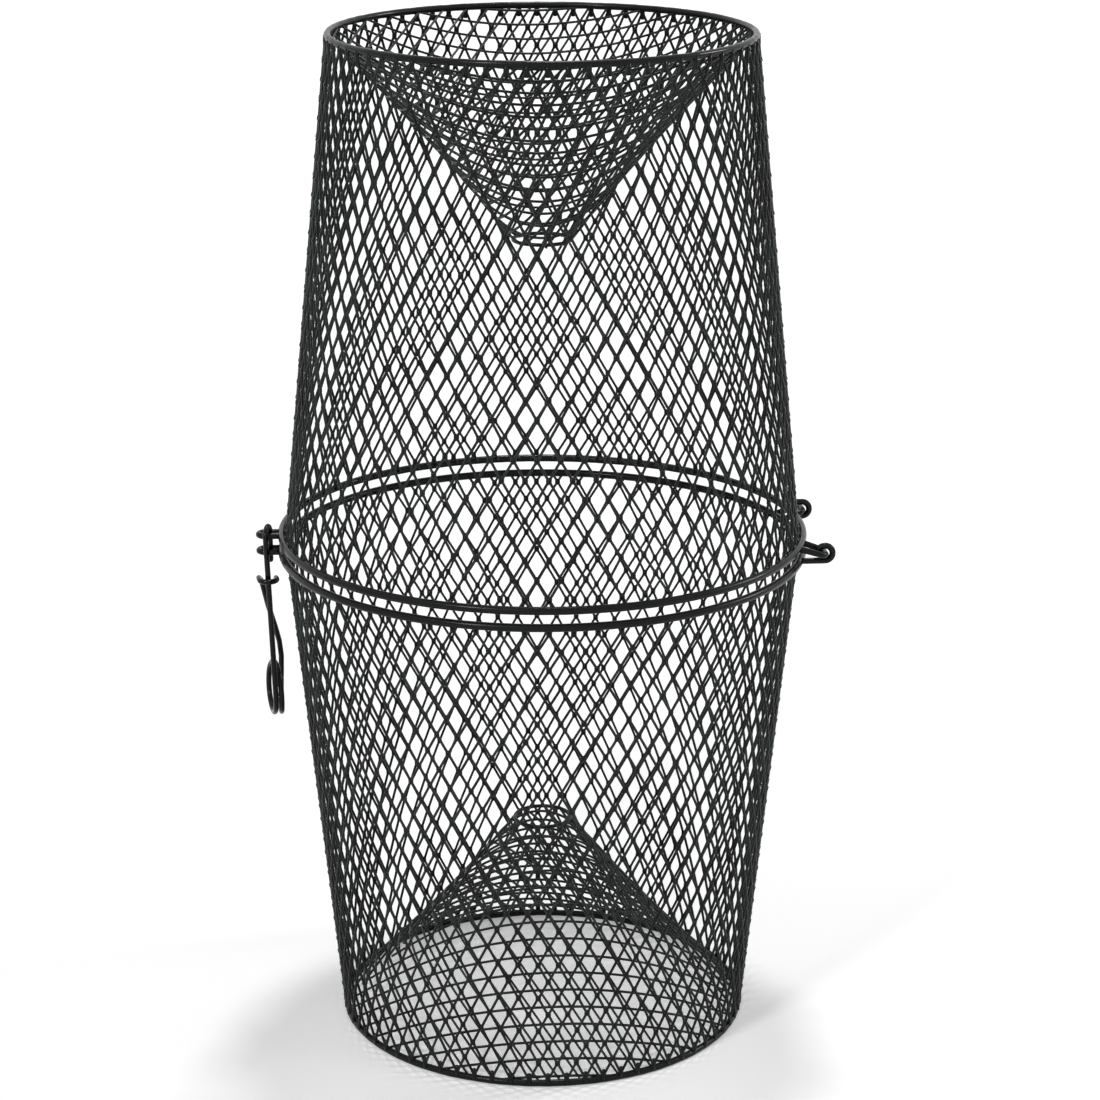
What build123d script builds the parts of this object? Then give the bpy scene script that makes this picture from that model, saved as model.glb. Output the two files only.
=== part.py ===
from build123d import *

# Minnow trap: two equal tapered halves of coated steel mesh that meet mouth to mouth.
# They are hinged on the right (+X) and held shut by a spring clip on the left (-X).
# Millimetres, +Z up. The trap stands on one end, with the origin at that end's centre.
# Each half is drawn once in its own frame. The upper half is the lower one turned over about X.

import os
from math import acos, atan2, cos, degrees, pi, radians, sin, sqrt, tan

os.makedirs("parts", exist_ok=True)

# Whole trap
overall_height = 438.0
mouth_diameter = 228.6  # outside of the mouth hoops
end_diameter = 180.0  # outside of the end rims
hoop_gap = 3.8  # clear gap between the two mouth hoops

# Wires, drawn with flats, and the rings with many short straight sides
hoop_wire = 3.4
rim_wire = 3.0
throat_wire = 1.6
fitting_wire = 2.7
clip_wire = 2.4
ring_flats = 8
fitting_flats = 6
ring_sides = 60
throat_sides = 36

# Nets: the gaps and rows are fewer than the real ones, and the strands wider to match
seat_depth = 0.4  # how far a net is sunk into the coat of the ring that carries it
wall_gap_count = 16
wall_rows = 6
wall_strand = 2.6
wall_thickness = 1.5
throat_opening = 23.0
funnel_depth = 86.5  # from the end rim to the throat ring
funnel_bow = 2.0  # how far the funnel's middle is drawn in from a straight cone
funnel_gap_count = 10
funnel_rows = 5
funnel_strand = 2.2
funnel_thickness = 1.4

# Hinge: each half has a hairpin tongue, whose end is the pin, and an eye round the other half's pin
hinge_reach = 4.2  # from the hoops' outside to the pin's centre
hinge_offset = 33.0  # from the middle plane to each tongue and eye
pin_clearance = 0.6
tongue_gap = 1.8  # from the eye's side to the tongue's arm
pin_play = 0.15  # straight pin beyond the eye on each side
eye_turn = 280.0

# Clip ears
ear_reach = 9.5  # from the hoops' outside to the ear's tip
ear_clearance = 0.4  # between the clip's latch leg and each arm of the ear

# Spring clip
clip_turn = 2.0  # the clip hangs a little skew to the wall
latch_tip_drop = 5.4  # from the lower ear to the end of the latch leg
hook_width = 9.0  # between the latch leg and the long leg
leg_length = 70.6  # from the hook down to the coil's centre
hook_lean = 3.0  # how far the long leg's top stands out from the latch leg
coil_diameter = 24.8
coil_gap = 0.5
coil_turns = 1.5
catch_radius = 3.3
catch_drop = 17.6  # from the hook to the catch
catch_bend = 3.2  # rise of the bend from the back leg into the catch
catch_tail = 3.0  # straight end of the catch past the long leg
catch_skew = 0.2

# What follows from those sizes
middle = overall_height / 2
hoop_radius = (mouth_diameter - hoop_wire) / 2
hoop_level = middle - (hoop_gap + hoop_wire) / 2
rim_radius = (end_diameter - rim_wire) / 2
rim_level = rim_wire / 2
throat_radius = (throat_opening + throat_wire) / 2
throat_level = rim_level + funnel_depth
hinge_x = mouth_diameter / 2 + hinge_reach
eye_radius = fitting_wire + pin_clearance
tongue_arm = fitting_wire + tongue_gap
ear_arm = (clip_wire + fitting_wire) / 2 + ear_clearance
ear_centre = mouth_diameter / 2 + ear_reach - fitting_wire / 2 - ear_arm
latch_x = mouth_diameter / 2 + (ear_reach - fitting_wire) / 2  # in the middle of the ears' holes

lower_frame = Plane.XY
upper_frame = Plane(origin=(0, 0, overall_height), x_dir=(1, 0, 0), z_dir=(0, 0, -1))
halves = {"lower": lower_frame, "upper": upper_frame}


def section(path, diameter, flats, turn=0.0):
    """A wire's cross-section at the start of its path. The turn brings a flat to another side."""
    with BuildSketch(path.line ^ 0) as profile:
        RegularPolygon(diameter / 2, flats, major_radius=False, rotation=180 / flats + turn)
    return profile.sketch


def wire(path, diameter, turn=0.0):
    """A bent wire along a finished path, in the part that is open."""
    sweep(section(path, diameter, fitting_flats, turn), path=path.wires()[0], clean=False)


def ring(frame, radius, level, diameter, flats, sides):
    """A closed ring of wire about the half's own axis, mitred at its corners, joined halfway along a side."""
    corners = [Vector(radius, 0, level).rotate(Axis.Z, 360 * side / sides) for side in range(sides)]
    halfway = (corners[0] + corners[-1]) / 2
    with BuildLine() as path:
        Polyline([frame.from_local_coords(corner) for corner in (halfway, *corners, halfway)])
    sweep(section(path, diameter, flats), path=path.wires()[0], transition=Transition.RIGHT)


def on_hoop(offset):
    """How far out the hoop's centre line is, at this offset from the middle plane."""
    return sqrt(hoop_radius**2 - offset**2)


def net_rows(start, end, rows, bow=0.0):
    """(radius, level) of each row of a net from one ring to the other, drawn in by the bow halfway."""
    length = sqrt((end[0] - start[0]) ** 2 + (end[1] - start[1]) ** 2)
    across = ((start[1] - end[1]) / length, (end[0] - start[0]) / length)
    profile = []
    for row in range(rows + 1):
        share = row / rows
        sag = 4 * bow * share * (1 - share)
        radius = start[0] + share * (end[0] - start[0]) + sag * across[0]
        level = start[1] + share * (end[1] - start[1]) + sag * across[1]
        profile.append((radius, level))
    return profile


def moved_across(profile, distance):
    """The same rows moved square to the net's slope, for its other skin."""
    moved = []
    for row, (radius, level) in enumerate(profile):
        before, after = profile[max(row - 1, 0)], profile[min(row + 1, len(profile) - 1)]
        run, rise = after[0] - before[0], after[1] - before[1]
        length = sqrt(run**2 + rise**2)
        moved.append((radius - distance * rise / length, level + distance * run / length))
    return moved


def round_net(frame, profile, gaps, strand, thickness):
    """A round net of diamond gaps as one solid, with a flat panel for each crossing bar.

    A bar runs from its foot, on one upright line, to its head on the next line, one row up.
    """
    rows = len(profile) - 1
    step = 180 / gaps
    skins = (profile, moved_across(profile, thickness))

    def point(skin, column, row, along=0.0, up=0.0):
        """Where a column meets a row, moved along the row and up or down the slope by real lengths."""
        radius, level = skin[row]
        if up:
            beyond = skin[row + 1] if up > 0 else skin[row - 1]
            share = abs(up) / sqrt((beyond[0] - radius) ** 2 + (beyond[1] - level) ** 2)
            radius += share * (beyond[0] - radius)
            level += share * (beyond[1] - level)
        corner = Vector(radius, 0, level).rotate(Axis.Z, column * step)
        if along:
            beside = Vector(radius, 0, level).rotate(Axis.Z, (column + along / abs(along)) * step)
            corner += (beside - corner).normalized() * abs(along)
        return frame.from_local_coords(corner)

    faces = []

    def face(*corners):
        faces.append(Face(Wire.make_polygon(corners, close=True)))

    rise = sqrt((profile[-1][0] - profile[0][0]) ** 2 + (profile[-1][1] - profile[0][1]) ** 2) / rows
    for row in range(rows):
        for column in range(2 * gaps):
            foot, head, way = (column, column + 1, 1) if (row + column) % 2 == 0 else (column + 1, column, -1)
            corners = []
            for skin in skins:
                foot_run = 2 * profile[row][0] * sin(radians(step / 2))
                head_run = 2 * profile[row + 1][0] * sin(radians(step / 2))
                foot_cut = strand / 2 * sqrt(foot_run**2 + rise**2)
                head_cut = strand / 2 * sqrt(head_run**2 + rise**2)
                corners.append(
                    [
                        point(skin, foot, row),
                        point(skin, foot, row, up=foot_cut / foot_run),
                        point(skin, head, row + 1, along=-way * head_cut / rise),
                        point(skin, head, row + 1),
                        point(skin, head, row + 1, up=-head_cut / head_run),
                        point(skin, foot, row, along=way * foot_cut / rise),
                    ]
                )
            outer, inner = corners
            face(*outer)
            face(*inner)
            for start, end in ((1, 2), (4, 5)):
                face(outer[start], outer[end], inner[end])
                face(outer[start], inner[end], inner[start])
            if row == 0:
                face(outer[5], outer[0], inner[0], inner[5])
            if row == rows - 1:
                face(outer[2], outer[3], inner[3], inner[2])
    return Solid(Shell(faces))


hoop_inside = hoop_radius - hoop_wire / 2
wall_profile = net_rows(
    (rim_radius + wall_thickness / 2 + seat_depth, rim_level),
    (hoop_inside + seat_depth, hoop_level),
    wall_rows,
)
funnel_profile = net_rows(
    (rim_radius - seat_depth, rim_level + seat_depth),
    (throat_radius, throat_level),
    funnel_rows,
    funnel_bow,
)

for half, frame in halves.items():
    with BuildPart() as mouth_hoop:
        ring(frame, hoop_radius, hoop_level, hoop_wire, ring_flats, ring_sides)
    mouth_hoop.part.label = f"{half}_mouth_hoop"
    export_step(mouth_hoop.part, f"parts/{half}_mouth_hoop.step")

    with BuildPart() as end_rim:
        ring(frame, rim_radius, rim_level, rim_wire, ring_flats, ring_sides)
    end_rim.part.label = f"{half}_end_rim"
    export_step(end_rim.part, f"parts/{half}_end_rim.step")

    with BuildPart() as throat_ring:
        ring(frame, throat_radius, throat_level, throat_wire, fitting_flats, throat_sides)
    throat_ring.part.label = f"{half}_throat_ring"
    export_step(throat_ring.part, f"parts/{half}_throat_ring.step")

    # The two nets share the end rim, and each is sunk into it from its own side
    with BuildPart() as wall_mesh:
        add(round_net(frame, wall_profile, wall_gap_count, wall_strand, wall_thickness))
    wall_mesh.part.label = f"{half}_wall_mesh"
    export_step(wall_mesh.part, f"parts/{half}_wall_mesh.step")

    with BuildPart() as funnel_mesh:
        add(round_net(frame, funnel_profile, funnel_gap_count, funnel_strand, funnel_thickness))
    funnel_mesh.part.label = f"{half}_funnel_mesh"
    export_step(funnel_mesh.part, f"parts/{half}_funnel_mesh.step")

    # The tongue's crossbar lies on the hinge's axis and is the pin
    near, far = hinge_offset - tongue_arm, hinge_offset + tongue_arm
    with BuildPart() as hinge_tongue:
        with BuildLine(frame) as path:
            FilletPolyline(
                (on_hoop(near), near, hoop_level),
                (hinge_x, near, middle),
                (hinge_x, far, middle),
                (on_hoop(far), far, hoop_level),
                radius=tongue_arm - fitting_wire / 2 - pin_play,
            )
        wire(path, fitting_wire)
    hinge_tongue.part.label = f"{half}_hinge_tongue"
    export_step(hinge_tongue.part, f"parts/{half}_hinge_tongue.step")

    # The eye leaves its hoop level and curls up and over the other half's pin
    upright = Plane(
        frame.from_local_coords(Vector(0, -hinge_offset, 0)), x_dir=frame.x_dir, z_dir=-frame.y_dir
    )
    with BuildPart() as hinge_eye:
        with BuildLine(upright) as path:
            Line((on_hoop(hinge_offset), middle - eye_radius), (hinge_x, middle - eye_radius))
            CenterArc((hinge_x, middle), eye_radius, -90, eye_turn)
        wire(path, fitting_wire)
    hinge_eye.part.label = f"{half}_hinge_eye"
    export_step(hinge_eye.part, f"parts/{half}_hinge_eye.step")

    with BuildPart() as clip_ear:
        level = Plane(frame.from_local_coords(Vector(0, 0, hoop_level)), x_dir=frame.x_dir, z_dir=frame.z_dir)
        with BuildLine(level) as path:
            Line((-on_hoop(ear_arm), ear_arm), (-ear_centre, ear_arm))
            CenterArc((-ear_centre, 0), ear_arm, 90, 180)
            Line((-ear_centre, -ear_arm), (-on_hoop(ear_arm), -ear_arm))
        wire(path, fitting_wire, turn=180 / fitting_flats)
    clip_ear.part.label = f"{half}_clip_ear"
    export_step(clip_ear.part, f"parts/{half}_clip_ear.step")


# The clip is one wire: down through both ears, over the hook, down the long leg, round the coil,
# up the back leg and round the long leg in the catch. Its plane stands a little skew to the wall.
# In that plane's own frame, x runs away from the viewer, y up and z towards the wall.
skew = radians(clip_turn)
clip_plane = Plane((-latch_x, 0, 0), x_dir=(sin(skew), cos(skew), 0), z_dir=(cos(skew), -sin(skew), 0))
coil_radius = (coil_diameter - clip_wire) / 2
coil_pitch = clip_wire + coil_gap
coil_slope = coil_pitch / (2 * pi * coil_radius)
hook_level = overall_height - hoop_level
latch_tip = Vector(0, hoop_level - latch_tip_drop, 0)
latch_top = Vector(0, hook_level, 0)
leg_top = Vector(-hook_width, hook_level, -hook_lean)
leg_way = Vector(0, -1, coil_slope)
leg_foot = leg_top + leg_way * leg_length
leg_in_catch = leg_top + leg_way * catch_drop
catch_side = leg_in_catch - Vector(0, 0, catch_radius)
catch_far_side = leg_in_catch + Vector(0, 0, catch_radius)
catch_front = leg_in_catch - Vector(catch_radius, 0, 0)
catch_start = catch_side + Vector(catch_tail, 0, 0)

# The back leg leaves the coil where it points straight at the bend under the catch
back_leg_top = catch_start + Vector(catch_bend, -catch_bend, 0)
aim = back_leg_top - leg_foot - Vector(coil_radius, 0, 0)
lean = atan2(aim.Y, aim.X) - acos(coil_radius / sqrt(aim.X**2 + aim.Y**2))
coil_sweep = 360 * coil_turns + degrees(lean)
back_leg_way = Vector(-sin(lean), cos(lean), -catch_skew)


def on_coil(turned):
    """A point on the coil's centre line, this far round from the long leg, and the wire's way there."""
    angle = radians(180 + turned)
    round_it = Vector(coil_radius * (1 + cos(angle)), coil_radius * sin(angle), coil_pitch * turned / 360)
    return leg_foot + round_it, Vector(-sin(angle), cos(angle), coil_slope)


def in_space(spot):
    return clip_plane.from_local_coords(spot)


def biarc(start, start_way, end, end_way):
    """Two arcs that leave the start its way and reach the end its way, in the line that is open."""
    start_way, end_way = start_way.normalized(), end_way.normalized()
    chord, both = end - start, start_way + end_way
    spread = 2 * (1 - start_way.dot(end_way))
    reach = (sqrt(chord.dot(both) ** 2 + spread * chord.dot(chord)) - chord.dot(both)) / spread
    joint = (start + start_way * reach + end - end_way * reach) / 2
    base = in_space(Vector(0, 0, 0))
    TangentArc(in_space(start), in_space(joint), tangent=in_space(start_way) - base)
    TangentArc(in_space(end), in_space(joint), tangent=base - in_space(end_way))


forward = Vector(-1, 0, 0)
coil_end, coil_end_way = on_coil(coil_sweep)
coil_steps = round(coil_sweep / 90)

with BuildPart() as spring_clip:
    with BuildLine() as path:
        Line(in_space(latch_tip), in_space(latch_top))
        biarc(latch_top, latch_top - latch_tip, leg_top, leg_way)
        Line(in_space(leg_top), in_space(leg_foot))
        for step in range(coil_steps):
            stretch = coil_sweep / coil_steps
            biarc(*on_coil(step * stretch), *on_coil((step + 1) * stretch))
        biarc(coil_end, coil_end_way, back_leg_top, back_leg_way)
        biarc(back_leg_top, back_leg_way, catch_start, forward)
        Line(in_space(catch_start), in_space(catch_side))
        biarc(catch_side, forward, catch_front, Vector(0, 0, 1))
        biarc(catch_front, Vector(0, 0, 1), catch_far_side, -forward)
        Line(in_space(catch_far_side), in_space(catch_far_side - forward * catch_tail))
    wire(path, clip_wire)
spring_clip.part.label = "spring_clip"
export_step(spring_clip.part, "parts/spring_clip.step")

# The clip must never touch itself: the nearest two points of its centre line that aren't neighbours
centre_line = path.wires()[0]
samples = 600
spots = [centre_line @ (i / samples) for i in range(samples + 1)]
apart = round(samples * 4 * clip_wire / centre_line.length)
nearest = min((a - b).length for i, a in enumerate(spots) for b in spots[i + apart :])
print("clip wire length", round(centre_line.length, 1), "least gap to itself", round(nearest - clip_wire, 2))
section_area = fitting_flats * (clip_wire / 2) ** 2 * tan(pi / fitting_flats)
volume_share = spring_clip.part.volume / section_area / centre_line.length
print("clip volume over section times length", round(volume_share, 4))
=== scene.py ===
import bpy
from math import acos, atan2, ceil, cos, degrees, pi, radians, sin, sqrt
from mathutils import Matrix, Vector


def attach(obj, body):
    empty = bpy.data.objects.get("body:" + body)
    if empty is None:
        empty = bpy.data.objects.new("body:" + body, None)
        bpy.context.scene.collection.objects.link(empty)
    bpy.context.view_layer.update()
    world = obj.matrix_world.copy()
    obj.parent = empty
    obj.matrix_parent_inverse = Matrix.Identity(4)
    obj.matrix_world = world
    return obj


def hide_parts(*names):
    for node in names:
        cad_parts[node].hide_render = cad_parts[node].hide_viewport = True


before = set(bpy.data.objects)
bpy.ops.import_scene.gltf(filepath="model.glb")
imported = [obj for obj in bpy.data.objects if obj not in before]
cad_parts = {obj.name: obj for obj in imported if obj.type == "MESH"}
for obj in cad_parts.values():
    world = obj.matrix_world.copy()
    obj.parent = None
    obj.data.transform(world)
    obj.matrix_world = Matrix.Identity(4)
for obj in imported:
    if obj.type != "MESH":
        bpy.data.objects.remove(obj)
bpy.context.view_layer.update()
mm = 0.001

# sizes that several pieces share, in millimetres
trap = {
    "height": 438.0,
    "mouthDiameter": 228.6,
    "endDiameter": 180.0,
    "hoopWire": 3.4,
    "hoopGap": 3.8,
    "rimWire": 3.0,
    "throatWire": 1.6,
    "throatOpening": 23.0,
    "funnelDepth": 86.5,
    "funnelBow": 2.0,
    "fittingWire": 2.7,
    "clipWire": 2.4,
}
middle = trap["height"] / 2
hoopRadius = (trap["mouthDiameter"] - trap["hoopWire"]) / 2
hoopLevel = middle - (trap["hoopGap"] + trap["hoopWire"]) / 2
rimRadius = (trap["endDiameter"] - trap["rimWire"]) / 2
rimLevel = trap["rimWire"] / 2
throatRadius = (trap["throatOpening"] + trap["throatWire"]) / 2
throatLevel = rimLevel + trap["funnelDepth"]

# the upper half is the lower one turned over about the X axis
halfPlaces = {
    "lower": Matrix.Identity(4),
    "upper": Matrix.Translation((0, 0, trap["height"] * mm)) @ Matrix.Rotation(pi, 4, "X"),
}
print("frame loaded", len(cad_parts), "nodes")


# helpers for the node trees

class NodeSum:
    # builds a tree's nodes and lets its sums be written in the usual order
    def __init__(self, tree):
        self.tree = tree

    def add(self, kind, **settings):
        node = self.tree.nodes.new(kind)
        for name, value in settings.items():
            setattr(node, name, value)
        return node

    def feed(self, socket, value):
        if hasattr(value, "is_linked"):
            self.tree.links.new(value, socket)
        else:
            socket.default_value = value

    def math(self, operation, *values):
        node = self.add("ShaderNodeMath", operation=operation)
        for socket, value in zip(node.inputs, values):
            self.feed(socket, value)
        return node.outputs[0]

    def plus(self, a, b):
        return self.math("ADD", a, b)

    def minus(self, a, b):
        return self.math("SUBTRACT", a, b)

    def times(self, a, b):
        return self.math("MULTIPLY", a, b)

    def over(self, a, b):
        return self.math("DIVIDE", a, b)

    def mix(self, a, b, share):
        return self.plus(a, self.times(self.minus(b, a), share))

    def point(self, x, y, z):
        node = self.add("ShaderNodeCombineXYZ")
        for socket, value in zip(node.inputs, (x, y, z)):
            self.feed(socket, value)
        return node.outputs[0]

    def around(self, radius, angle, level):
        return self.point(
            self.times(radius, self.math("COSINE", angle)), self.times(radius, self.math("SINE", angle)), level
        )


def newTree(name, inputs):
    tree = bpy.data.node_groups.new(name, "GeometryNodeTree")
    for label, kind, value in inputs:
        socket = tree.interface.new_socket(label, in_out="INPUT", socket_type=kind)
        if value is not None:
            socket.default_value = value
    tree.interface.new_socket("Geometry", in_out="OUTPUT", socket_type="NodeSocketGeometry")
    build = NodeSum(tree)
    given = build.add("NodeGroupInput").outputs
    return build, {socket.name: socket for socket in given if socket.name}


def marked(build, shape):
    # marks a shape's faces as a knob, which gets the thicker coat
    mark = build.add("GeometryNodeStoreNamedAttribute", data_type="BOOLEAN", domain="FACE")
    build.feed(mark.inputs["Geometry"], shape)
    mark.inputs["Name"].default_value = "knob"
    mark.inputs["Value"].default_value = True
    return mark.outputs[0]


def finishTree(build, geometry, material, knobMaterial=None):
    realize = build.add("GeometryNodeRealizeInstances")
    build.feed(realize.inputs["Geometry"], geometry)
    smooth = build.add("GeometryNodeSetShadeSmooth")
    build.feed(smooth.inputs["Geometry"], realize.outputs[0])
    paint = build.add("GeometryNodeSetMaterial")
    build.feed(paint.inputs["Geometry"], smooth.outputs[0])
    build.feed(paint.inputs["Material"], material)
    if knobMaterial is not None:
        knob = build.add("GeometryNodeInputNamedAttribute", data_type="BOOLEAN")
        knob.inputs["Name"].default_value = "knob"
        plain, paint = paint, build.add("GeometryNodeSetMaterial")
        build.feed(paint.inputs["Geometry"], plain.outputs[0])
        build.feed(paint.inputs["Selection"], knob.outputs["Attribute"])
        build.feed(paint.inputs["Material"], knobMaterial)
    build.feed(build.add("NodeGroupOutput").inputs["Geometry"], paint.outputs[0])


def tube(build, line, radius, sides, isMesh=True, scale=None):
    # a round wire along a mesh line or a curve
    if isMesh:
        bend = build.add("GeometryNodeMeshToCurve")
        build.feed(bend.inputs["Mesh"], line)
        line = bend.outputs[0]
    circle = build.add("GeometryNodeCurvePrimitiveCircle", mode="RADIUS")
    build.feed(circle.inputs["Resolution"], sides)
    build.feed(circle.inputs["Radius"], radius)
    skin = build.add("GeometryNodeCurveToMesh")
    build.feed(skin.inputs["Curve"], line)
    build.feed(skin.inputs["Profile Curve"], circle.outputs[0])
    if scale is not None:
        build.feed(skin.inputs["Scale"], scale)
    skin.inputs["Fill Caps"].default_value = True
    return skin.outputs[0]


def lumpy(build, skin, height, size):
    # pushes a skin in and out a little, as dipped plastic dries
    noise = build.add("ShaderNodeTexNoise")
    build.feed(noise.inputs["Vector"], build.add("GeometryNodeInputPosition").outputs[0])
    build.feed(noise.inputs["Scale"], build.over(1.0, size))
    noise.inputs["Detail"].default_value = 1.0
    push = build.add("ShaderNodeVectorMath", operation="SCALE")
    build.feed(push.inputs[0], build.add("GeometryNodeInputNormal").outputs[0])
    build.feed(push.inputs["Scale"], build.times(build.minus(noise.outputs["Fac"], 0.5), height))
    moved = build.add("GeometryNodeSetPosition")
    build.feed(moved.inputs["Geometry"], skin)
    build.feed(moved.inputs["Offset"], push.outputs[0])
    return moved.outputs[0]


def join(build, *parts):
    node = build.add("GeometryNodeJoinGeometry")
    for part in reversed(parts):
        build.tree.links.new(part, node.inputs[0])
    return node.outputs[0]


def runTree(build, name, values, path=None):
    # runs a tree once and returns its result as a plain mesh
    carrier = bpy.data.objects.new(name, path or bpy.data.meshes.new(name))
    bpy.context.scene.collection.objects.link(carrier)
    modifier = carrier.modifiers.new(name, "NODES")
    modifier.node_group = build.tree
    for item in build.tree.interface.items_tree:
        if item.in_out == "INPUT" and item.name in values:
            modifier[item.identifier] = values[item.name]
    carrier.update_tag()
    evaluated = carrier.evaluated_get(bpy.context.evaluated_depsgraph_get())
    mesh = bpy.data.meshes.new_from_object(evaluated)
    bpy.data.objects.remove(carrier)
    return mesh


def placePiece(name, mesh, body, node):
    mesh.name = name
    piece = bpy.data.objects.new(name, mesh)
    bpy.context.scene.collection.objects.link(piece)
    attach(piece, body)
    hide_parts(node)


def placeInHalves(name, mesh, node):
    # the same piece in both halves
    for half, place in halfPlaces.items():
        copied = mesh.copy()
        copied.transform(place)
        placePiece(f"{half}{name}", copied, f"{half}_half", f"{half}_{node}")


# the coat: thick black plastic over steel, with a painted grey-green sheen in random patches, standing in for where the
# light skims it

def coatGroup():
    tree = bpy.data.node_groups.new("dippedCoat", "ShaderNodeTree")
    for label, kind, value in (
        ("Base", "NodeSocketColor", (0.01, 0.012, 0.012, 1)),
        ("Cast", "NodeSocketColor", (0.035, 0.045, 0.045, 1)),
        ("Lump Scale", "NodeSocketFloat", 300.0),
        ("Lump Height", "NodeSocketFloat", 0.3),
        ("Gloss", "NodeSocketFloat", 0.25),
    ):
        tree.interface.new_socket(label, in_out="INPUT", socket_type=kind).default_value = value
    for label, kind in (("Color", "NodeSocketColor"), ("Roughness", "NodeSocketFloat"), ("Height", "NodeSocketFloat")):
        tree.interface.new_socket(label, in_out="OUTPUT", socket_type=kind)
    build = NodeSum(tree)
    given = build.add("NodeGroupInput").outputs
    place = build.add("ShaderNodeTexCoord").outputs["Object"]
    lumps = build.add("ShaderNodeTexNoise")
    build.feed(lumps.inputs["Vector"], place)
    build.feed(lumps.inputs["Scale"], given["Lump Scale"])
    lumps.inputs["Detail"].default_value = 3.0
    # random patches of painted sheen: a paler grey-green colour standing in for lit strands, and rougher there too
    sheenPatches = build.add("ShaderNodeTexNoise")
    build.feed(sheenPatches.inputs["Vector"], place)
    sheenPatches.inputs["Scale"].default_value = 40.0
    sheenPatches.inputs["Detail"].default_value = 4.0
    share = build.add("ShaderNodeMapRange")
    build.feed(share.inputs["Value"], sheenPatches.outputs["Fac"])
    share.inputs["From Min"].default_value = 0.35
    share.inputs["From Max"].default_value = 0.7
    color = build.add("ShaderNodeMix", data_type="RGBA")
    build.feed(color.inputs["Factor"], share.outputs[0])
    build.feed(color.inputs["A"], given["Base"])
    build.feed(color.inputs["B"], given["Cast"])
    rough = build.mix(given["Gloss"], build.plus(given["Gloss"], 0.18), share.outputs[0])
    out = build.add("NodeGroupOutput")
    build.feed(out.inputs["Color"], color.outputs["Result"])
    build.feed(out.inputs["Roughness"], rough)
    build.feed(out.inputs["Height"], build.times(lumps.outputs["Fac"], given["Lump Height"]))
    return tree


def coatMaterial(name, coat, base, paintedSheen, lumpScale, lumpHeight, gloss, clear):
    material = bpy.data.materials.new(name)
    material.use_nodes = True
    nodes, links = material.node_tree.nodes, material.node_tree.links
    shader = nodes["Principled BSDF"]
    group = nodes.new("ShaderNodeGroup")
    group.node_tree = coat
    group.inputs["Base"].default_value = (*base, 1)
    group.inputs["Cast"].default_value = (*paintedSheen, 1)
    group.inputs["Lump Scale"].default_value = lumpScale
    group.inputs["Lump Height"].default_value = lumpHeight
    group.inputs["Gloss"].default_value = gloss
    bump = nodes.new("ShaderNodeBump")
    bump.inputs["Distance"].default_value = 0.0004
    links.new(group.outputs["Height"], bump.inputs["Height"])
    links.new(bump.outputs["Normal"], shader.inputs["Normal"])
    links.new(group.outputs["Color"], shader.inputs["Base Color"])
    links.new(group.outputs["Roughness"], shader.inputs["Roughness"])
    shader.inputs["Specular IOR Level"].default_value = 0.13
    shader.inputs["Coat Weight"].default_value = clear
    shader.inputs["Coat Roughness"].default_value = 0.12
    return material


coat = coatGroup()
# the net's painted sheen is the palest, standing in for the lit grey sides of its strands; the wires' and the spring's
# are faint
netCoat = coatMaterial("netCoat", coat, (0.003, 0.004, 0.004), (0.03, 0.038, 0.038), 350.0, 0.5, 0.26, 0.1)
wireCoat = coatMaterial("wireCoat", coat, (0.002, 0.003, 0.003), (0.005, 0.006, 0.006), 220.0, 0.35, 0.18, 0.08)
springCoat = coatMaterial("springCoat", coat, (0.003, 0.003, 0.003), (0.008, 0.01, 0.01), 420.0, 0.15, 0.16, 0.1)
print("materials made")

# the wall net: upright strands that zigzag and meet their neighbours in short bonds
wallNet = {
    "gapsRound": 70,
    "bondRows": 28,
    "pitch": 8.05,
    "firstBond": 2.0,
    "bondShare": 0.12,
    "strand": 1.2,
    "bondWidth": 2.4,
    "bondLength": 3.2,
    "bondDepth": 2.1,
    "footLength": 5.0,
    "footWidth": 1.5,
    "footFlare": 2.6,
    "sides": 8,
}


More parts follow.
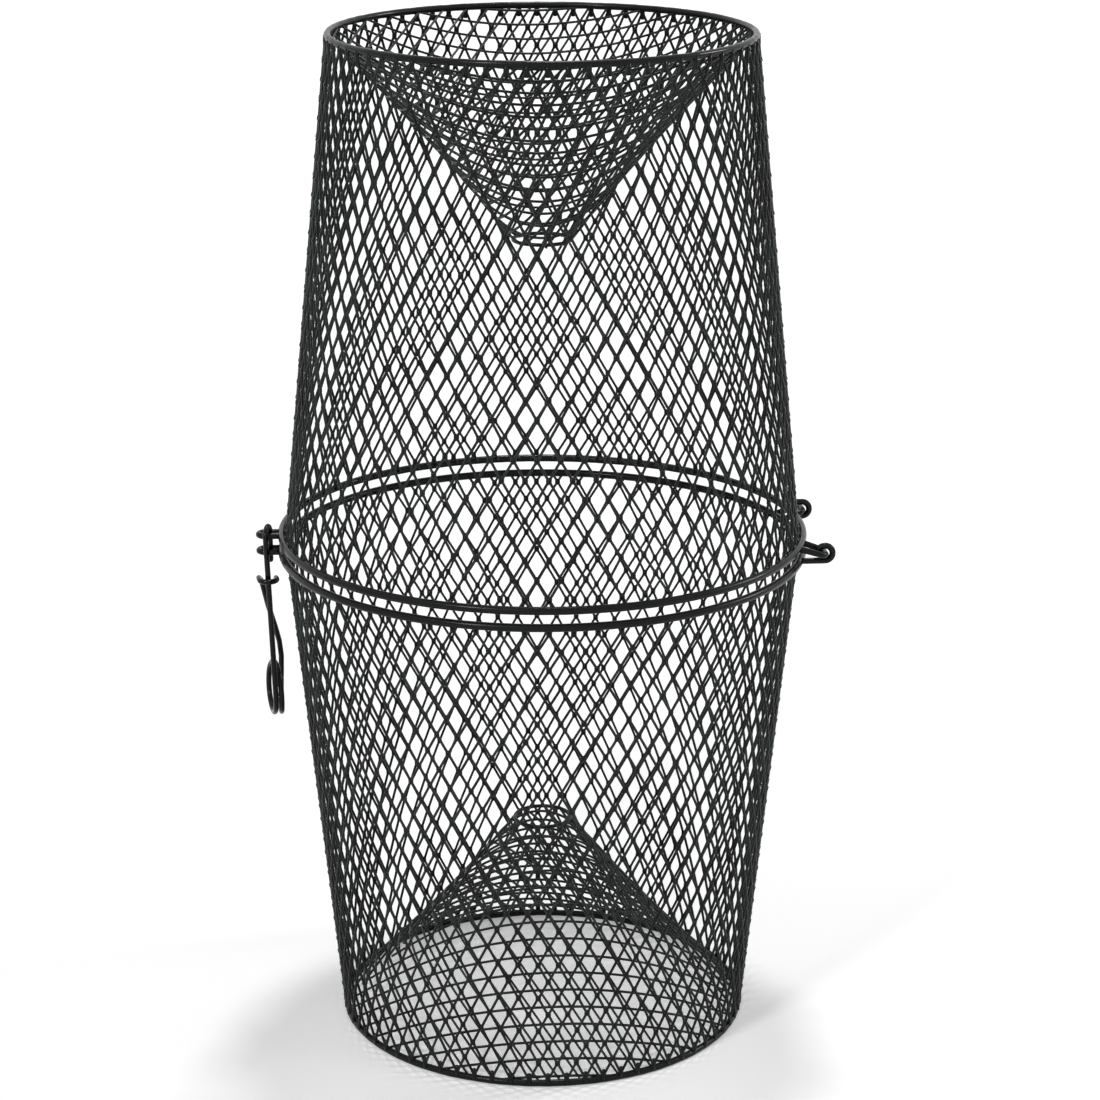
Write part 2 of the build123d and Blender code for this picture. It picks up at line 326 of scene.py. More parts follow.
def wallNetTree():
    build, given = newTree("wallNet", [
        ("End Radius", "NodeSocketFloat", None), ("End Level", "NodeSocketFloat", None),
        ("Mouth Radius", "NodeSocketFloat", None), ("Mouth Level", "NodeSocketFloat", None),
        ("Gaps Round", "NodeSocketInt", None), ("Bond Rows", "NodeSocketInt", None),
        ("Pitch", "NodeSocketFloat", None), ("First Bond", "NodeSocketFloat", None),
        ("Bond Share", "NodeSocketFloat", None), ("Strand Radius", "NodeSocketFloat", None),
        ("Bond Width", "NodeSocketFloat", None), ("Bond Length", "NodeSocketFloat", None),
        ("Bond Depth", "NodeSocketFloat", None), ("Foot Length", "NodeSocketFloat", None),
        ("Foot Width", "NodeSocketFloat", None), ("Foot Flare", "NodeSocketFloat", None),
        ("Sides", "NodeSocketInt", None), ("Material", "NodeSocketMaterial", None),
        ("Knob Material", "NodeSocketMaterial", None),
    ])
    run = build.minus(given["Mouth Radius"], given["End Radius"])
    rise = build.minus(given["Mouth Level"], given["End Level"])
    slope = build.math("SQRT", build.plus(build.times(run, run), build.times(rise, rise)))
    step = build.over(pi, given["Gaps Round"])
    index = build.add("GeometryNodeInputIndex").outputs[0]

    def onWall(along):
        share = build.over(along, slope)
        return build.mix(given["End Radius"], given["Mouth Radius"], share), build.mix(
            given["End Level"], given["Mouth Level"], share
        )

    def strand(hand):
        # two corners at each bond, cut off where the hoop is
        bond = build.math("FLOOR", build.over(index, 2.0))
        corner = build.minus(build.times(2.0, build.math("MODULO", index, 2.0)), 1.0)
        turn = build.plus(bond, build.times(corner, given["Bond Share"]))
        lastTurn = build.over(build.minus(slope, given["First Bond"]), given["Pitch"])
        turn = build.math("MINIMUM", turn, lastTurn)
        swing = build.math("ABSOLUTE", build.minus(build.math("FLOORED_MODULO", turn, 2.0), 1.0))
        steep = build.over(1.0, build.minus(1.0, build.times(2.0, given["Bond Share"])))
        wave = build.times(build.minus(1.0, build.times(2.0, swing)), steep)
        wave = build.math("MAXIMUM", build.math("MINIMUM", wave, 1.0), -1.0)
        radius, level = onWall(build.plus(given["First Bond"], build.times(turn, given["Pitch"])))
        reach = build.minus(build.over(step, 2.0), build.over(given["Strand Radius"], radius))
        angle = build.plus(build.over(step, 2.0), build.times(build.times(wave, hand), reach))
        line = build.add("GeometryNodeMeshLine")
        build.feed(line.inputs["Count"], build.times(2.0, given["Bond Rows"]))
        bent = build.add("GeometryNodeSetPosition")
        build.feed(bent.inputs["Geometry"], line.outputs[0])
        build.feed(bent.inputs["Position"], build.around(radius, angle, level))
        wire = tube(build, bent.outputs[0], given["Strand Radius"], given["Sides"])
        places = build.add("GeometryNodeMeshLine")
        build.feed(places.inputs["Count"], given["Gaps Round"])
        places.inputs["Offset"].default_value = (0, 0, 0)
        copies = build.add("GeometryNodeInstanceOnPoints")
        build.feed(copies.inputs["Points"], places.outputs[0])
        build.feed(copies.inputs["Instance"], wire)
        start = build.times(step, 0.0 if hand > 0 else 1.0)
        turned = build.plus(start, build.times(index, build.times(2.0, step)))
        build.feed(copies.inputs["Rotation"], build.point(0.0, 0.0, turned))
        return copies.outputs[0]

    # a bond or a foot: places round the wall, each tilted to the slope
    lean = build.math("ARCTAN2", run, rise)
    row = build.math("FLOOR", build.over(index, given["Gaps Round"]))
    spot = build.math("MODULO", index, given["Gaps Round"])
    turned = build.times(step, build.plus(build.times(2.0, spot), build.math("MODULO", row, 2.0)))

    def scattered(count, shape, along, size):
        radius, level = onWall(along)
        places = build.add("GeometryNodeMeshLine")
        build.feed(places.inputs["Count"], count)
        laid = build.add("GeometryNodeSetPosition")
        build.feed(laid.inputs["Geometry"], places.outputs[0])
        build.feed(laid.inputs["Position"], build.around(radius, turned, level))
        copies = build.add("GeometryNodeInstanceOnPoints")
        build.feed(copies.inputs["Points"], laid.outputs[0])
        build.feed(copies.inputs["Instance"], shape)
        build.feed(copies.inputs["Rotation"], build.point(0.0, lean, turned))
        build.feed(copies.inputs["Scale"], size)
        return copies.outputs[0]

    blob = build.add("GeometryNodeMeshIcoSphere")
    blob.inputs["Radius"].default_value = 1.0
    blob.inputs["Subdivisions"].default_value = 1
    half = [build.times(given[label], 0.5) for label in ("Bond Depth", "Bond Width", "Bond Length")]
    bonds = scattered(
        build.times(given["Gaps Round"], build.minus(given["Bond Rows"], 1.0)),
        marked(build, blob.outputs[0]),
        build.plus(given["First Bond"], build.times(row, given["Pitch"])),
        build.point(*half),
    )
    foot = build.add("GeometryNodeMeshCone")
    foot.inputs["Vertices"].default_value = 10
    foot.inputs["Side Segments"].default_value = 2
    build.feed(foot.inputs["Radius Bottom"], build.times(given["Foot Flare"], 0.5))
    build.feed(foot.inputs["Radius Top"], build.times(given["Foot Width"], 0.5))
    build.feed(foot.inputs["Depth"], given["Foot Length"])
    feet = scattered(given["Gaps Round"], marked(build, foot.outputs["Mesh"]), 0.0, build.point(0.8, 1.0, 1.0))
    net = join(build, strand(1.0), strand(-1.0), bonds, feet)
    finishTree(build, net, given["Material"], given["Knob Material"])
    return build


wallMesh = runTree(wallNetTree(), "wallNet", {
    "End Radius": (rimRadius + trap["rimWire"] / 4) * mm,
    "End Level": rimLevel * mm,
    "Mouth Radius": (hoopRadius - trap["hoopWire"] / 2 - wallNet["strand"] / 2 + 0.2) * mm,
    "Mouth Level": hoopLevel * mm,
    "Gaps Round": wallNet["gapsRound"],
    "Bond Rows": wallNet["bondRows"],
    "Pitch": wallNet["pitch"] * mm,
    "First Bond": wallNet["firstBond"] * mm,
    "Bond Share": wallNet["bondShare"],
    "Strand Radius": wallNet["strand"] / 2 * mm,
    "Bond Width": wallNet["bondWidth"] * mm,
    "Bond Length": wallNet["bondLength"] * mm,
    "Bond Depth": wallNet["bondDepth"] * mm,
    "Foot Length": wallNet["footLength"] * mm,
    "Foot Width": wallNet["footWidth"] * mm,
    "Foot Flare": wallNet["footFlare"] * mm,
    "Sides": wallNet["sides"],
    "Material": netCoat,
    "Knob Material": wireCoat,
})
placeInHalves("WallNet", wallMesh, "wall_mesh")
print("wall nets made", len(wallMesh.polygons), "faces each")

# the funnel net: a flat net of straight strands, rolled into a cone with its seam on the left
funnelNet = {
    "spacing": 7.7,
    "crossing": 58.0,
    "strand": 1.15,
    "seamAt": -90.0,
    "cutStep": 1.5,
    "tail": 7.0,
    "bondLength": 3.0,
    "bondWidth": 1.7,
    "bondDepth": 1.4,
    "sides": 6,
}


def funnelNetTree():
    build, given = newTree("funnelNet", [
        ("Rim Radius", "NodeSocketFloat", None), ("Rim Level", "NodeSocketFloat", None),
        ("Throat Radius", "NodeSocketFloat", None), ("Throat Level", "NodeSocketFloat", None),
        ("Bow", "NodeSocketFloat", None), ("Spacing", "NodeSocketFloat", None),
        ("Crossing", "NodeSocketFloat", None), ("Seam", "NodeSocketFloat", None),
        ("Cut Step", "NodeSocketFloat", None), ("Tail", "NodeSocketFloat", None),
        ("Strand Radius", "NodeSocketFloat", None), ("Bond Length", "NodeSocketFloat", None),
        ("Bond Width", "NodeSocketFloat", None), ("Bond Depth", "NodeSocketFloat", None),
        ("Sides", "NodeSocketInt", None), ("Material", "NodeSocketMaterial", None),
        ("Knob Material", "NodeSocketMaterial", None),
    ])
    run = build.minus(given["Rim Radius"], given["Throat Radius"])
    rise = build.minus(given["Throat Level"], given["Rim Level"])
    slope = build.math("SQRT", build.plus(build.times(run, run), build.times(rise, rise)))
    sine, cosine = build.over(run, slope), build.over(rise, slope)
    widest = build.over(given["Rim Radius"], sine)
    narrowest = build.over(given["Throat Radius"], sine)

    def rolled(across, along):
        # where a point of the flat net comes on the cone, how far out it is, and its turn about the axis
        out = build.math("SQRT", build.plus(build.times(across, across), build.times(along, along)))
        fan = build.math("ARCTAN2", across, along)
        angle = build.minus(build.over(fan, sine), pi / 2)
        share = build.over(build.minus(widest, out), slope)
        sag = build.times(build.times(4.0, given["Bow"]), build.times(share, build.minus(1.0, share)))
        radius = build.math(
            "MAXIMUM", build.minus(build.times(out, sine), build.times(sag, cosine)), given["Throat Radius"]
        )
        level = build.plus(given["Rim Level"], build.times(build.minus(widest, out), cosine))
        level = build.minus(level, build.times(sag, sine))
        return build.around(radius, angle, level), out, fan, angle

    def trimmed(net, out, fan, beyond, tail):
        # what lies off the cone or past the seam goes, but for uneven tails past the throat
        uneven = build.add("ShaderNodeTexNoise")
        build.feed(uneven.inputs["Vector"], build.point(fan, 0.0, 0.0))
        uneven.inputs["Scale"].default_value = 9.0
        tail = build.times(tail, build.math("MAXIMUM", build.minus(uneven.outputs["Fac"], 0.3), 0.0))
        first = build.times(given["Seam"], sine)
        last = build.times(build.plus(given["Seam"], 2 * pi), sine)
        inside = build.times(
            build.times(
                build.math("GREATER_THAN", out, build.minus(narrowest, tail)),
                build.math("LESS_THAN", out, build.plus(widest, beyond)),
            ),
            build.times(build.math("GREATER_THAN", fan, first), build.math("LESS_THAN", fan, last)),
        )
        cut = build.add("GeometryNodeDeleteGeometry", domain="POINT", mode="ALL")
        build.feed(cut.inputs["Geometry"], net)
        build.feed(cut.inputs["Selection"], build.math("LESS_THAN", inside, 0.5))
        return cut.outputs[0]

    place = build.add("GeometryNodeInputPosition").outputs[0]
    split = build.add("ShaderNodeSeparateXYZ")
    build.feed(split.inputs[0], place)
    flatX, flatY = split.outputs[0], split.outputs[1]

    def strands(angle):
        # straight strands side by side, cut into short steps
        line = build.add("GeometryNodeMeshLine")
        steps = build.math("CEIL", build.over(build.times(2.0, widest), given["Cut Step"]))
        build.feed(line.inputs["Count"], steps)
        build.feed(line.inputs["Start Location"], build.point(build.times(widest, -1.0), 0.0, 0.0))
        build.feed(line.inputs["Offset"], build.point(given["Cut Step"], 0.0, 0.0))
        rows = build.add("GeometryNodeMeshLine")
        half = build.math("CEIL", build.over(widest, given["Spacing"]))
        build.feed(rows.inputs["Count"], build.plus(build.times(2.0, half), 1.0))
        build.feed(
            rows.inputs["Start Location"], build.point(0.0, build.times(half, build.times(given["Spacing"], -1.0)), 0.0)
        )
        build.feed(rows.inputs["Offset"], build.point(0.0, given["Spacing"], 0.0))
        copies = build.add("GeometryNodeInstanceOnPoints")
        build.feed(copies.inputs["Points"], rows.outputs[0])
        build.feed(copies.inputs["Instance"], line.outputs[0])
        turned = build.add("GeometryNodeTransform")
        build.feed(turned.inputs["Geometry"], copies.outputs[0])
        build.feed(turned.inputs["Rotation"], build.point(0.0, 0.0, angle))
        loose = build.add("GeometryNodeRealizeInstances")
        build.feed(loose.inputs["Geometry"], turned.outputs[0])
        where, out, fan, angleRound = rolled(flatX, flatY)
        kept = trimmed(loose.outputs[0], out, fan, 0.0, given["Tail"])
        bent = build.add("GeometryNodeSetPosition")
        build.feed(bent.inputs["Geometry"], kept)
        build.feed(bent.inputs["Position"], where)
        return tube(build, bent.outputs[0], given["Strand Radius"], given["Sides"])

    # a bond at each crossing, long along the gaps' long way
    index = build.add("GeometryNodeInputIndex").outputs[0]
    half = build.math("CEIL", build.over(build.times(widest, 1.4), given["Spacing"]))
    side = build.plus(build.times(2.0, half), 1.0)
    grid = build.add("GeometryNodeMeshLine")
    build.feed(grid.inputs["Count"], build.times(side, side))
    row = build.minus(build.math("FLOOR", build.over(index, side)), half)
    column = build.minus(build.math("MODULO", index, side), half)
    flatAlong = build.times(row, given["Spacing"])
    flatAcross = build.plus(
        build.over(build.times(column, given["Spacing"]), build.math("SINE", given["Crossing"])),
        build.over(flatAlong, build.math("TANGENT", given["Crossing"])),
    )
    flat = build.add("GeometryNodeSetPosition")
    build.feed(flat.inputs["Geometry"], grid.outputs[0])
    build.feed(flat.inputs["Position"], build.point(flatAcross, flatAlong, 0.0))
    where, out, fan, angleRound = rolled(flatX, flatY)
    kept = trimmed(flat.outputs[0], out, fan, build.times(given["Bond Length"], -0.5), 0.0)
    lay = build.plus(build.over(given["Crossing"], 2.0), fan)
    sideways, outwards = build.math("COSINE", lay), build.math("SINE", lay)
    way = build.add("ShaderNodeCombineXYZ")
    sinRound, cosRound = build.math("SINE", angleRound), build.math("COSINE", angleRound)
    slant = build.times(outwards, sine)
    build.feed(way.inputs[0], build.minus(build.times(slant, cosRound), build.times(sideways, sinRound)))
    build.feed(way.inputs[1], build.plus(build.times(slant, sinRound), build.times(sideways, cosRound)))
    build.feed(way.inputs[2], build.times(build.times(outwards, cosine), -1.0))
    blob = build.add("GeometryNodeMeshIcoSphere")
    blob.inputs["Radius"].default_value = 1.0
    blob.inputs["Subdivisions"].default_value = 1
    aim = build.add("FunctionNodeAlignRotationToVector", axis="Z")
    build.feed(aim.inputs["Vector"], way.outputs[0])
    face = build.add("FunctionNodeAlignRotationToVector", axis="X", pivot_axis="Z")
    build.feed(face.inputs["Rotation"], aim.outputs[0])
    build.feed(
        face.inputs["Vector"],
        build.point(build.times(cosine, cosRound), build.times(cosine, sinRound), sine),
    )
    copies = build.add("GeometryNodeInstanceOnPoints")
    laid = build.add("GeometryNodeSetPosition")
    build.feed(laid.inputs["Position"], where)
    keepTurn = build.add("GeometryNodeStoreNamedAttribute", data_type="QUATERNION", domain="POINT")
    keepTurn.inputs["Name"].default_value = "bondTurn"
    build.feed(keepTurn.inputs["Geometry"], kept)
    build.feed(keepTurn.inputs["Value"], face.outputs[0])
    build.feed(laid.inputs["Geometry"], keepTurn.outputs[0])
    turn = build.add("GeometryNodeInputNamedAttribute", data_type="QUATERNION")
    turn.inputs["Name"].default_value = "bondTurn"
    build.feed(copies.inputs["Points"], laid.outputs[0])
    build.feed(copies.inputs["Instance"], marked(build, blob.outputs[0]))
    build.feed(copies.inputs["Rotation"], turn.outputs["Attribute"])
    sizes = [build.times(given[label], 0.5) for label in ("Bond Depth", "Bond Width", "Bond Length")]
    build.feed(copies.inputs["Scale"], build.point(*sizes))
    net = join(build, strands(0.0), strands(given["Crossing"]), copies.outputs[0])
    finishTree(build, net, given["Material"], given["Knob Material"])
    return build


funnelMesh = runTree(funnelNetTree(), "funnelNet", {
    "Rim Radius": (rimRadius - 0.3) * mm,
    "Rim Level": (rimLevel + 0.3) * mm,
    "Throat Radius": throatRadius * mm,
    "Throat Level": throatLevel * mm,
    "Bow": trap["funnelBow"] * mm,
    "Spacing": funnelNet["spacing"] * mm,
    "Crossing": radians(funnelNet["crossing"]),
    "Seam": radians(funnelNet["seamAt"]),
    "Cut Step": funnelNet["cutStep"] * mm,
    "Tail": funnelNet["tail"] * mm,
    "Strand Radius": funnelNet["strand"] / 2 * mm,
    "Bond Length": funnelNet["bondLength"] * mm,
    "Bond Width": funnelNet["bondWidth"] * mm,
    "Bond Depth": funnelNet["bondDepth"] * mm,
    "Sides": funnelNet["sides"],
    "Material": netCoat,
    "Knob Material": wireCoat,
})
placeInHalves("FunnelNet", funnelMesh, "funnel_mesh")
print("funnel nets made", len(funnelMesh.polygons), "faces each")

# the rings: hoops at the mouths, rims at the ends and thin rings round the throats
rings = {
    "steps": 288,
    "throatSteps": 72,
    "sides": 14,
    "lumpHeight": 0.1,
    "lumpSize": 9.0,
    "rimLumpHeight": 0.45,
    "rimLumpSize": 5.0,
}


def ringTree():
    build, given = newTree("coatedRing", [
        ("Ring Radius", "NodeSocketFloat", None), ("Level", "NodeSocketFloat", None),
        ("Wire Radius", "NodeSocketFloat", None), ("Steps", "NodeSocketInt", None),
        ("Sides", "NodeSocketInt", None), ("Lump Height", "NodeSocketFloat", None),
        ("Lump Size", "NodeSocketFloat", None), ("Material", "NodeSocketMaterial", None),
    ])
    circle = build.add("GeometryNodeCurvePrimitiveCircle", mode="RADIUS")
    build.feed(circle.inputs["Resolution"], given["Steps"])
    build.feed(circle.inputs["Radius"], given["Ring Radius"])
    raised = build.add("GeometryNodeSetPosition")
    build.feed(raised.inputs["Geometry"], circle.outputs["Curve"])
    build.feed(raised.inputs["Offset"], build.point(0.0, 0.0, given["Level"]))
    skin = tube(build, raised.outputs[0], given["Wire Radius"], given["Sides"], isMesh=False)
    finishTree(build, lumpy(build, skin, given["Lump Height"], given["Lump Size"]), given["Material"])
    return build


def placeRing(name, node, radius, level, wire, steps, lumpHeight, lumpSize):
    mesh = runTree(ringTree(), name, {
        "Ring Radius": radius * mm,
        "Level": level * mm,
        "Wire Radius": wire / 2 * mm,
        "Steps": steps,
        "Sides": rings["sides"],
        "Lump Height": lumpHeight * mm,
        "Lump Size": lumpSize * mm,
        "Material": wireCoat,
    })
    placeInHalves(name, mesh, node)


placeRing(
    "MouthHoop", "mouth_hoop", hoopRadius, hoopLevel, trap["hoopWire"],
    rings["steps"], rings["lumpHeight"], rings["lumpSize"],
)
placeRing(
    "EndRim", "end_rim", rimRadius, rimLevel, trap["rimWire"],
    rings["steps"], rings["rimLumpHeight"], rings["rimLumpSize"],
)
placeRing(
    "ThroatRing", "throat_ring", throatRadius, throatLevel, trap["throatWire"],
    rings["throatSteps"], rings["lumpHeight"], rings["lumpSize"],
)
print("rings made")

# bent wires: hinge tongues, hinge eyes, clip ears and the spring clip
fittings = {
    "hingeReach": 4.2,
    "hingeOffset": 33.0,
    "pinClearance": 0.6,
    "tongueGap": 1.8,
    "pinPlay": 0.15,
    "eyeTurn": 280.0,
    "earReach": 9.5,
    "earClearance": 0.4,
    "sides": 16,
    "bendStep": 7.0,
    "lumpHeight": 0.12,
    "lumpSize": 5.0,
}
clip = {
    "turn": -8.0,
    "tipDrop": 5.4,
    "hookWidth": 9.0,
    "legLength": 70.6,
    "hookLean": 3.0,
    "coilDiameter": 24.8,
    "coilGap": 0.1,
    "coilTurns": 1.5,
    "coilSpread": 1.5,
    "catchRadius": 3.65,
    "catchDrop": 17.6,
    "catchBend": 3.2,
    "catchTail": 3.0,
    "catchIn": 1.7,
    "catchSkew": 0.2,
    "lumpHeight": 0.05,
    "lumpSize": 8.0,
}
hingeX = trap["mouthDiameter"] / 2 + fittings["hingeReach"]
eyeRadius = trap["fittingWire"] + fittings["pinClearance"]
tongueArm = trap["fittingWire"] + fittings["tongueGap"]
earArm = (trap["clipWire"] + trap["fittingWire"]) / 2 + fittings["earClearance"]
earCentre = trap["mouthDiameter"] / 2 + fittings["earReach"] - trap["fittingWire"] / 2 - earArm
latchX = trap["mouthDiameter"] / 2 + (fittings["earReach"] - trap["fittingWire"]) / 2


def onHoop(offset):
    return sqrt(hoopRadius ** 2 - offset ** 2)


def arcPoints(centre, side, up, radius, start, turn):
    # points along an arc, with angles in degrees
    steps = max(2, ceil(abs(turn) / fittings["bendStep"]))
    angles = [radians(start + turn * step / steps) for step in range(steps + 1)]
    return [centre + radius * (side * cos(angle) + up * sin(angle)) for angle in angles]


def tangentArc(start, way, end):
    # points from start, leaving it its way, along the arc that reaches the end
    chord = end - start
    along = chord.dot(way)
    aside = chord - way * along
    if aside.length < 1e-4:
        return [start, end]
    turn = 2 * atan2(aside.length, along)
    radius = chord.length / 2 / sin(turn / 2)
    return arcPoints(start + aside.normalized() * radius, -aside.normalized(), way, radius, 0, degrees(turn))


def biarc(start, startWay, end, endWay):
    # two arcs that leave the start its way and reach the end its way
    startWay, endWay = startWay.normalized(), endWay.normalized()
    chord, both = end - start, startWay + endWay
    spread = 2 * (1 - startWay.dot(endWay))
    reach = (sqrt(chord.dot(both) ** 2 + spread * chord.dot(chord)) - chord.dot(both)) / spread
    joint = (start + startWay * reach + end - endWay * reach) / 2
    return tangentArc(start, startWay, joint) + tangentArc(end, -endWay, joint)[::-1]


def rounded(corners, radius):
    # a line through corners with each inner one rounded off
    points = [corners[0]]
    for before, corner, after in zip(corners, corners[1:], corners[2:]):
        back, on = (before - corner).normalized(), (after - corner).normalized()
        reach = radius / sqrt((1 - back.dot(on)) / (1 + back.dot(on)))
        points += tangentArc(corner + back * reach, -back, corner + on * reach)
    return points + [corners[-1]]


def wirePath(name, points, tip):
    # a wire's centre line as edges, with close points at both ends for the rounded tips
    points = [Vector(point) for point in points]
    points = [b for a, b in zip([None] + points, points) if a is None or (b - a).length > 1e-3]
    for end in range(2):
        way = (points[1] - points[0]).normalized()
        points = [points[0] + way * tip * share for share in (0.0, 0.04, 0.15, 0.34, 0.6, 1.0)] + points[1:]
        points.reverse()
    mesh = bpy.data.meshes.new(name)
    mesh.from_pydata([point * mm for point in points], [(i, i + 1) for i in range(len(points) - 1)], [])
    return mesh


def wireTree():
    build, given = newTree("bentWire", [
        ("Path", "NodeSocketGeometry", None), ("Wire Radius", "NodeSocketFloat", None),
        ("Sides", "NodeSocketInt", None), ("Lump Height", "NodeSocketFloat", None),
        ("Lump Size", "NodeSocketFloat", None), ("Material", "NodeSocketMaterial", None),
    ])
    along = build.add("GeometryNodeSplineParameter").outputs["Length"]
    length = build.add("GeometryNodeSplineLength").outputs["Length"]
    fromEnd = build.math("MINIMUM", along, build.minus(length, along))
    bare = build.minus(1.0, build.math("MINIMUM", build.over(fromEnd, given["Wire Radius"]), 1.0))
    scale = build.math("SQRT", build.math("MAXIMUM", build.minus(1.0, build.times(bare, bare)), 0.003))
    skin = tube(build, given["Path"], given["Wire Radius"], given["Sides"], scale=scale)
    finishTree(build, lumpy(build, skin, given["Lump Height"], given["Lump Size"]), given["Material"])
    return build


def bentWire(name, points, wire, lumpHeight, lumpSize, material):
    path = wirePath(name, points, wire / 2)
    return runTree(wireTree(), name, {
        "Wire Radius": wire / 2 * mm,
        "Sides": fittings["sides"],
        "Lump Height": lumpHeight * mm,
        "Lump Size": lumpSize * mm,
        "Material": material,
    }, path)


def placeFitting(name, node, points):
    mesh = bentWire(name, points, trap["fittingWire"], fittings["lumpHeight"], fittings["lumpSize"], wireCoat)
    placeInHalves(name, mesh, node)


near, far = fittings["hingeOffset"] - tongueArm, fittings["hingeOffset"] + tongueArm
placeFitting("HingeTongue", "hinge_tongue", rounded([
    Vector((onHoop(near), near, hoopLevel)), Vector((hingeX, near, middle)),
    Vector((hingeX, far, middle)), Vector((onHoop(far), far, hoopLevel)),
], tongueArm - trap["fittingWire"] / 2 - fittings["pinPlay"]))
xAxis, yAxis, zAxis = Vector((1, 0, 0)), Vector((0, 1, 0)), Vector((0, 0, 1))
pinCentre = Vector((hingeX, -fittings["hingeOffset"], middle))
placeFitting("HingeEye", "hinge_eye", [
    Vector((onHoop(fittings["hingeOffset"]), -fittings["hingeOffset"], middle - eyeRadius)),
    *arcPoints(pinCentre, xAxis, zAxis, eyeRadius, -90, fittings["eyeTurn"]),
])
placeFitting("ClipEar", "clip_ear", [
    Vector((-onHoop(earArm), earArm, hoopLevel)),
    *arcPoints(Vector((-earCentre, 0, hoopLevel)), xAxis, yAxis, earArm, 90, 180),
    Vector((-onHoop(earArm), -earArm, hoopLevel)),
])
print("hinge and ears made")


def clipPath():
    # in the clip's own plane: x runs away from the viewer, y up and z towards the wall
    coilRadius = (clip["coilDiameter"] - trap["clipWire"]) / 2
    pitch = trap["clipWire"] + clip["coilGap"]
    coilSlope = pitch / (2 * pi * coilRadius)
    hookLevel = trap["height"] - hoopLevel
    latchTip, latchTop = Vector((0, hoopLevel - clip["tipDrop"], 0)), Vector((0, hookLevel, 0))
    legTop = Vector((-clip["hookWidth"], hookLevel, -clip["hookLean"]))
    legWay = Vector((0, -1, coilSlope))
    legFoot = legTop + legWay * clip["legLength"]
    legInCatch = legTop + legWay * clip["catchDrop"]
    catchSide, catchFar = (legInCatch + Vector((0, 0, side * clip["catchRadius"])) for side in (-1, 1))
    catchStart = catchSide + Vector((clip["catchTail"], 0, 0))
    backLegTop = catchStart + Vector((clip["catchBend"], -clip["catchBend"], clip["catchIn"]))
    aim = backLegTop - legFoot - Vector((coilRadius, 0, 0))
    lean = atan2(aim.y, aim.x) - acos(coilRadius / sqrt(aim.x ** 2 + aim.y ** 2))
    sweep = 360 * clip["coilTurns"] + degrees(lean)
    steps = ceil(sweep / fittings["bendStep"])
    coil = []
    for step in range(steps + 1):
        turned = sweep * step / steps
        angle = radians(180 + turned)
        across, up = coilRadius * (1 + cos(angle)), coilRadius * sin(angle)
        apart = clip["coilSpread"] * cos(angle / 2) * (1 + cos(angle)) / 2  # the turns stand apart at the back
        coil.append(legFoot + Vector((across, up, pitch * turned / 360 + apart)))
    coilWay = Vector((-sin(lean), cos(lean), coilSlope))
    backLegWay = Vector((-sin(lean), cos(lean), -clip["catchSkew"]))
    forward, towards = Vector((-1, 0, 0)), Vector((0, 0, 1))
    points = [latchTip, *biarc(latchTop, Vector((0, 1, 0)), legTop, legWay), *coil]
    points += biarc(coil[-1], coilWay, backLegTop, backLegWay)
    points += biarc(backLegTop, backLegWay, catchStart, forward)
    points += arcPoints(legInCatch, towards, forward, clip["catchRadius"], 180, -180)
    points.append(catchFar - forward * clip["catchTail"])
    skew = radians(clip["turn"])
    sideways, outwards = Vector((sin(skew), cos(skew), 0)), Vector((cos(skew), -sin(skew), 0))
    start = Vector((-latchX, 0, 0))
    return [start + sideways * point.x + zAxis * point.y + outwards * point.z for point in points]


clipMesh = bentWire("springClip", clipPath(), trap["clipWire"], clip["lumpHeight"], clip["lumpSize"], springCoat)
placePiece("springClip", clipMesh, "clip", "spring_clip")
print("clip made")

# a plain floor, a soft studio and the camera where the photographer stood
studio = {
    "cameraTurn": -4.0,
    "cameraDistance": 1271.0,
    "cameraHeight": 612.0,
    "cameraPitch": 17.44,
    "cameraAside": 0.15,
    "lens": 100.3,
    "floorGlow": 0.3,
    "farGlow": 0.85,
    "farFrom": 0.45,
    "farTo": 2.6,
    "skyLevel": 0.2,
}


def seenRay(tree):
    # 1 for rays that show the background: straight from the camera, or by way of gloss or glass
    ray = tree.nodes.new("ShaderNodeLightPath").outputs
    build = NodeSum(tree)
    seen = build.math("MAXIMUM", ray["Is Camera Ray"], ray["Is Glossy Ray"])
    return build.math("MAXIMUM", seen, ray["Is Transmission Ray"])


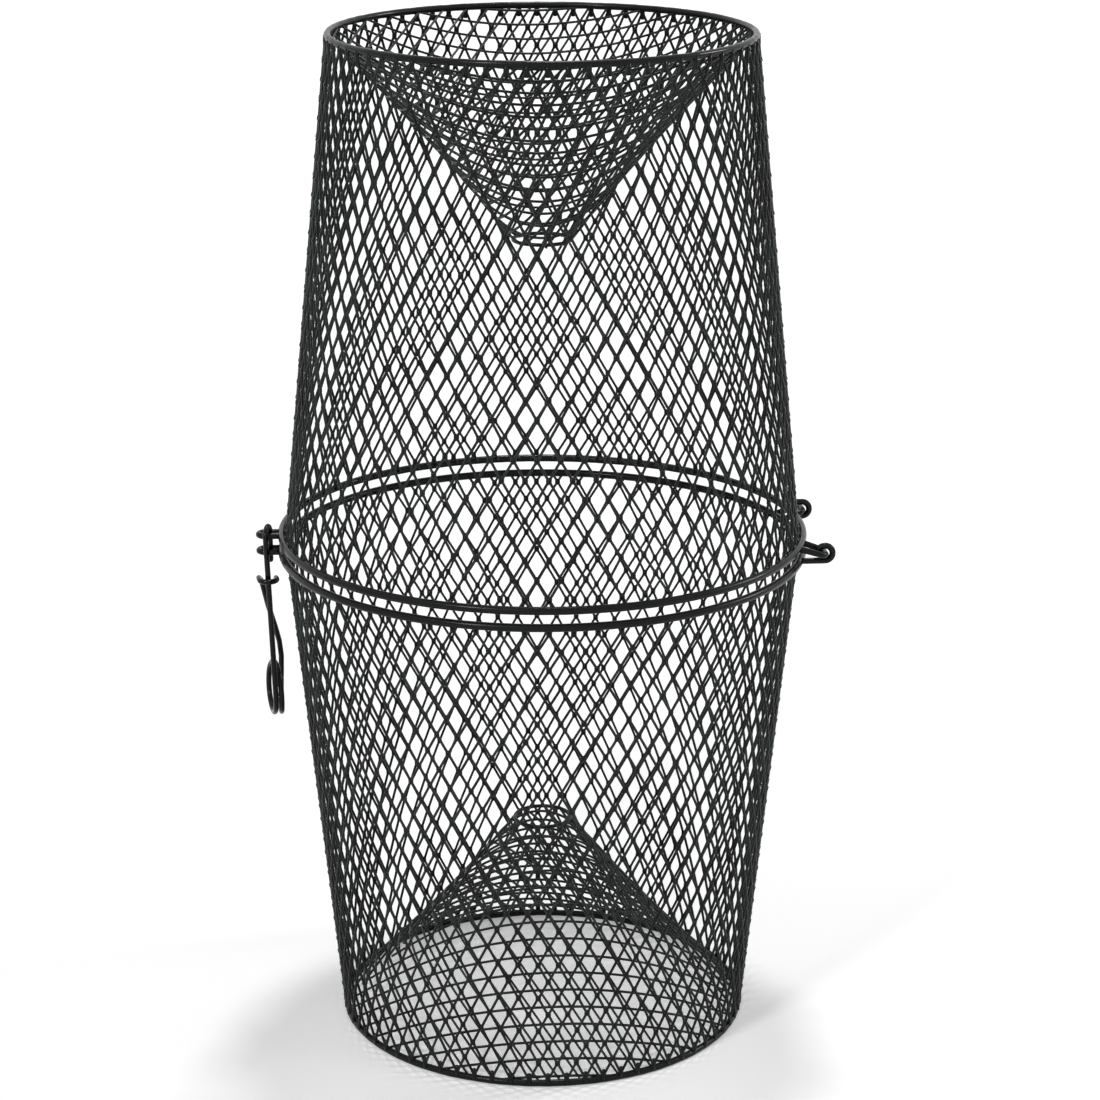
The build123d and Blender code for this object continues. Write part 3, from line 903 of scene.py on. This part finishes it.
def makeStudio():
    turn = radians(studio["cameraTurn"])
    pitch = radians(studio["cameraPitch"])
    camera = bpy.data.cameras.new("camera")
    camera.lens = studio["lens"]
    camera.clip_start = 0.05
    holder = bpy.data.objects.new("camera", camera)
    distance = studio["cameraDistance"] * mm
    holder.location = (distance * sin(turn), -distance * cos(turn), studio["cameraHeight"] * mm)
    holder.rotation_euler = (pi / 2 - pitch, 0, turn - radians(studio["cameraAside"]))
    bpy.context.scene.collection.objects.link(holder)
    bpy.context.scene.camera = holder

    floorMesh = bpy.data.meshes.new("floor")
    reach = 12.0
    floorMesh.from_pydata(
        [(-reach, -reach, 0), (reach, -reach, 0), (reach, reach, 0), (-reach, reach, 0)], [], [(0, 1, 2, 3)]
    )
    floor = bpy.data.objects.new("floor", floorMesh)
    bpy.context.scene.collection.objects.link(floor)
    paint = bpy.data.materials.new("floorPaint")
    paint.use_nodes = True
    shader = paint.node_tree.nodes["Principled BSDF"]
    shader.inputs["Base Color"].default_value = (0.9, 0.9, 0.9, 1)
    shader.inputs["Roughness"].default_value = 0.9
    shader.inputs["Emission Color"].default_value = (1, 1, 1, 1)
    build = NodeSum(paint.node_tree)
    away = build.add("ShaderNodeVectorMath", operation="LENGTH")
    build.feed(away.inputs[0], build.add("ShaderNodeTexCoord").outputs["Object"])
    glow = build.add("ShaderNodeMapRange")
    build.feed(glow.inputs["Value"], away.outputs["Value"])
    glow.inputs["From Min"].default_value = studio["farFrom"]
    glow.inputs["From Max"].default_value = studio["farTo"]
    glow.inputs["To Min"].default_value = studio["floorGlow"]
    glow.inputs["To Max"].default_value = studio["farGlow"]
    build.feed(shader.inputs["Emission Strength"], build.times(glow.outputs[0], seenRay(paint.node_tree)))
    floorMesh.materials.append(paint)

    world = bpy.data.worlds.new("studio")
    bpy.context.scene.world = world
    world.use_nodes = True
    nodes, links = world.node_tree.nodes, world.node_tree.links
    level = nodes.new("ShaderNodeMapRange")
    level.inputs["To Min"].default_value = studio["skyLevel"]
    level.inputs["To Max"].default_value = 1.0
    links.new(seenRay(world.node_tree), level.inputs["Value"])
    links.new(level.outputs[0], nodes["Background"].inputs["Strength"])
    nodes["Background"].inputs["Color"].default_value = (1, 1, 1, 1)
    for name, place, size, power in (
        ("keyLight", (-1.2, -1.6, 1.8), 0.35, 20),
        ("sideLight", (1.7, 0.3, 1.1), 0.4, 10),
        ("topLight", (0.1, 0.5, 2.2), 0.28, 18),
    ):
        lamp = bpy.data.lights.new(name, "AREA")
        lamp.size = size
        lamp.energy = power
        lampHolder = bpy.data.objects.new(name, lamp)
        lampHolder.location = place
        aim = Vector((0, 0, trap["height"] / 2 * mm)) - Vector(place)
        lampHolder.rotation_euler = aim.to_track_quat("-Z", "Y").to_euler()
        bpy.context.scene.collection.objects.link(lampHolder)
    bpy.context.scene.view_settings.view_transform = "Standard"


makeStudio()
print("studio set")
